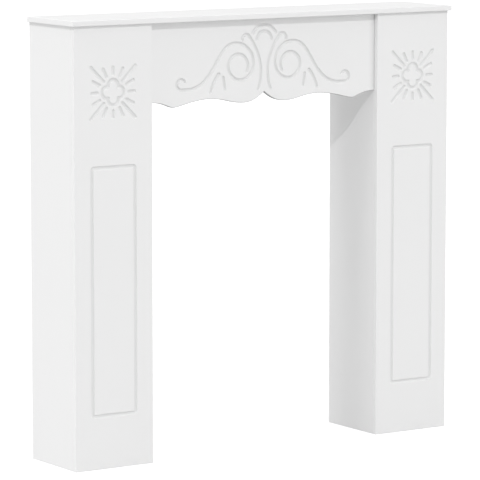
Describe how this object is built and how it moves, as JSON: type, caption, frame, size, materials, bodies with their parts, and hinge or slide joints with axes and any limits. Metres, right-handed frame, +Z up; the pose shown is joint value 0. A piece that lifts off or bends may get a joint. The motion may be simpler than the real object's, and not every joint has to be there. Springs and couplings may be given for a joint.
{
  "type": "fireplace mantelpiece",
  "caption": "White painted board mantel surround: plain shelf on box pillars with engraved sunburst and line panels, and a scalloped frieze with engraved scrollwork.",
  "frame": {"origin": "on the floor under the middle of the shelf", "axes": "+Z up, -Y out of the carved front, +X along the shelf towards the right pillar as seen from the front"},
  "size_m": [1.03, 0.2, 1],
  "materials": {
    "white_paint": "satin white paint on smooth fibreboard"
  },
  "bodies": {
    "root": {"mantel_shelf": "white_paint", "left_front_board": "white_paint", "left_outer_side": "white_paint", "left_inner_side": "white_paint", "right_front_board": "white_paint", "right_outer_side": "white_paint", "right_inner_side": "white_paint", "frieze_board": "white_paint"}
  },
  "joints": []
}
